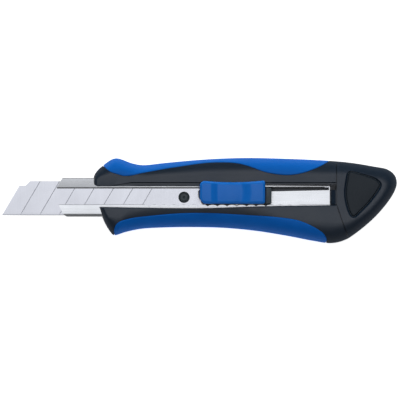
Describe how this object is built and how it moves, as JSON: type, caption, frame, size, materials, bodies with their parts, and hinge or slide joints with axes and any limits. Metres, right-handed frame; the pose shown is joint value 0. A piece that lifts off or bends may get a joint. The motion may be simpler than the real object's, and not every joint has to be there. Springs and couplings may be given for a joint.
{
  "type": "utility knife",
  "caption": "Snap-off utility knife: contoured two-shell handle with soft grips, scalloped steel channel, sliding segmented blade on a carrier, press-to-slide lock button and pull-off end cap.",
  "frame": {"origin": "centre of the bounding box in X and Y, on the flat back face the knife lies on", "axes": "+X towards the end cap (the blade tip is at -X), +Y towards the spine of the blade, +Z out of the side that carries the sliding button"},
  "size_m": [0.209, 0.0451, 0.0216],
  "materials": {
    "black_plastic": "fine matt grain",
    "badge_plastic": "satin",
    "grip_blue": "soft matt",
    "slider_blue": "satin",
    "channel_steel": "bright rolled",
    "blade_steel": "ground",
    "screw_steel": "zinc plated",
    "spring_steel": "rolled"
  },
  "bodies": {
    "handle": {"back_shell": "black_plastic", "front_shell": "black_plastic", "upper_grip_front": "grip_blue", "upper_grip_back": "grip_blue", "lower_grip_front": "grip_blue", "lower_grip_back": "grip_blue", "blade_channel": "channel_steel", "channel_rivet_1": "spring_steel", "channel_rivet_2": "spring_steel", "shell_screw_1": "screw_steel", "shell_screw_2": "screw_steel", "shell_screw_3": "screw_steel", "shell_screw_4": "screw_steel"},
    "slider": {"blade_carrier": "black_plastic", "blade": "blade_steel", "lock_spring": "spring_steel"},
    "button": {"slider_button": "slider_blue"},
    "cap": {"end_cap": "black_plastic", "cap_badge_front": "badge_plastic", "cap_badge_back": "badge_plastic"}
  },
  "joints": [
    {"name": "blade_slide", "type": "slide", "parent": "handle", "child": "slider", "axis": [-1, 0, 0], "range_m": [-0.03072, 0.04608]},
    {"name": "button_press", "type": "slide", "parent": "slider", "child": "button", "axis": [0, 0, -1], "range_m": [0, 0.0012], "stiffness_N_per_m": 1200, "deforming": ["lock_spring"]},
    {"name": "cap_pull", "type": "slide", "parent": "handle", "child": "cap", "axis": [1, 0, 0], "range_m": [0, 0.025]}
  ]
}
